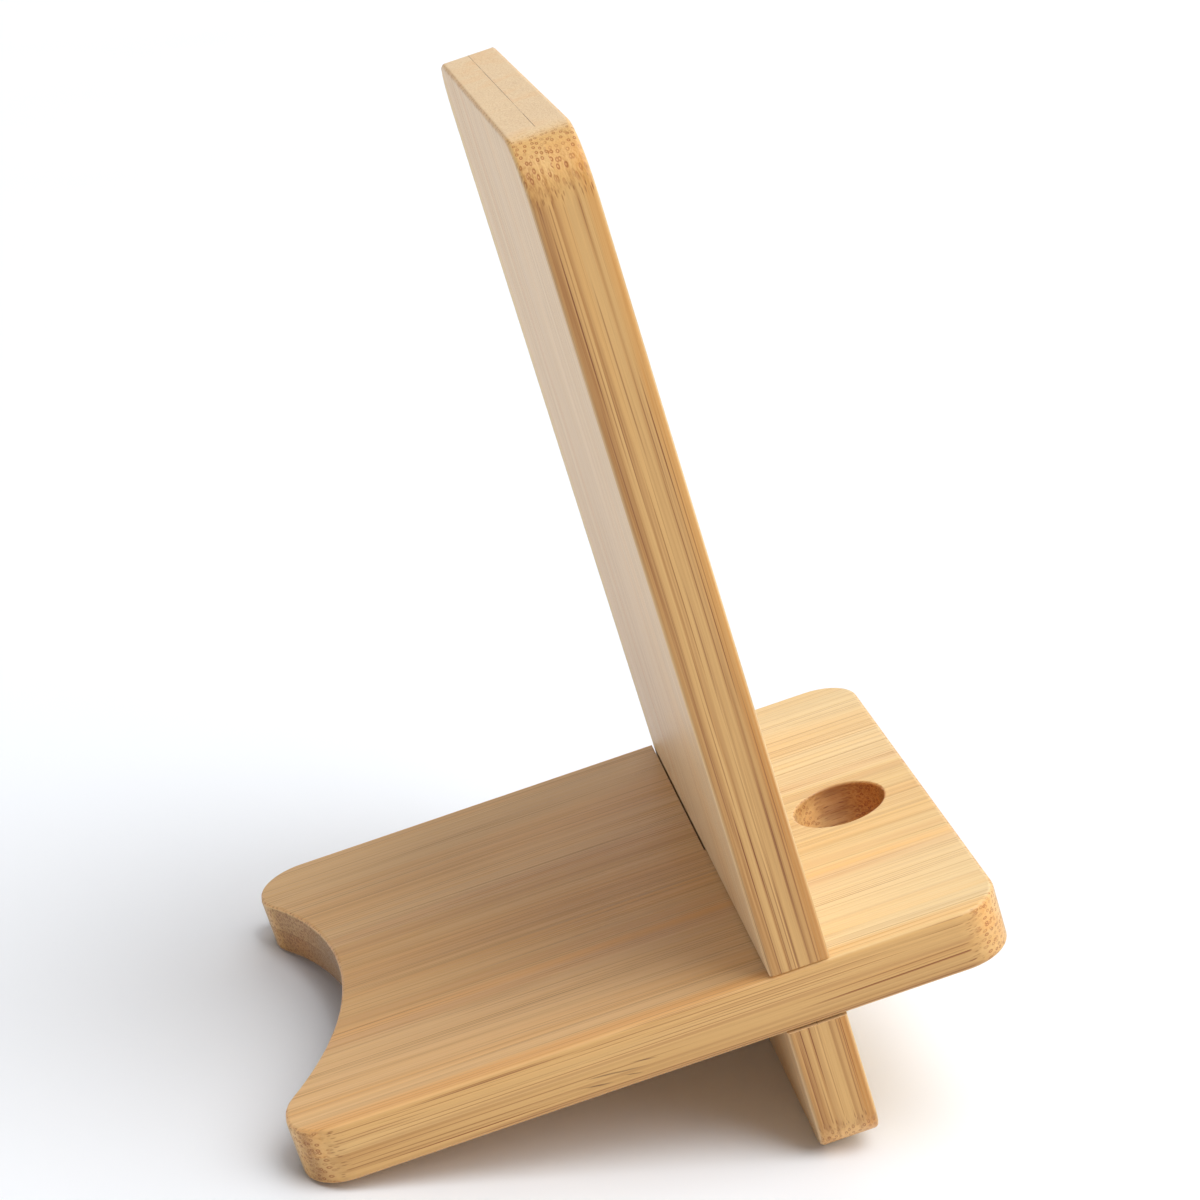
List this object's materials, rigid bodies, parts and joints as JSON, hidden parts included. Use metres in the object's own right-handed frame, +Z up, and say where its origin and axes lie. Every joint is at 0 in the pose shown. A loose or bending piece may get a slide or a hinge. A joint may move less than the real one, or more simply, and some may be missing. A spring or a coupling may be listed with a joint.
{
  "type": "phone stand",
  "caption": "Slot-together bamboo phone stand: a leaning back board crossed into a sloping seat with a cable hole in front and a scooped rear edge that leaves two feet.",
  "frame": {"origin": "middle of the bounding box, on the surface that the stand rests on", "axes": "+Z up, -Y to the front, where the phone stands on the seat and leans on the back board, X across the width"},
  "size_m": [0.07, 0.0768, 0.1102],
  "materials": {
    "bamboo": "satin"
  },
  "bodies": {
    "seat_board": {"seat_top_ply_left": "bamboo", "seat_top_ply_centre": "bamboo", "seat_top_ply_right_front": "bamboo", "seat_top_ply_right_rear": "bamboo", "seat_top_ply_edge_front": "bamboo", "seat_top_ply_edge_rear": "bamboo", "seat_bottom_ply_left": "bamboo", "seat_bottom_ply_centre": "bamboo", "seat_bottom_ply_right_front": "bamboo", "seat_bottom_ply_right_rear": "bamboo", "seat_bottom_ply_edge_front": "bamboo", "seat_bottom_ply_edge_rear": "bamboo"},
    "back_board": {"back_front_ply_left_foot": "bamboo", "back_front_ply_left_upper": "bamboo", "back_front_ply_centre": "bamboo", "back_front_ply_right": "bamboo", "back_front_ply_edge": "bamboo", "back_rear_ply_left_foot": "bamboo", "back_rear_ply_left_upper": "bamboo", "back_rear_ply_centre": "bamboo", "back_rear_ply_right": "bamboo", "back_rear_ply_edge": "bamboo"}
  },
  "joints": [
    {"name": "back_board_pull", "type": "slide", "parent": "seat_board", "child": "back_board", "axis": [1, 0, 0], "range_m": [0, 0.075]}
  ]
}
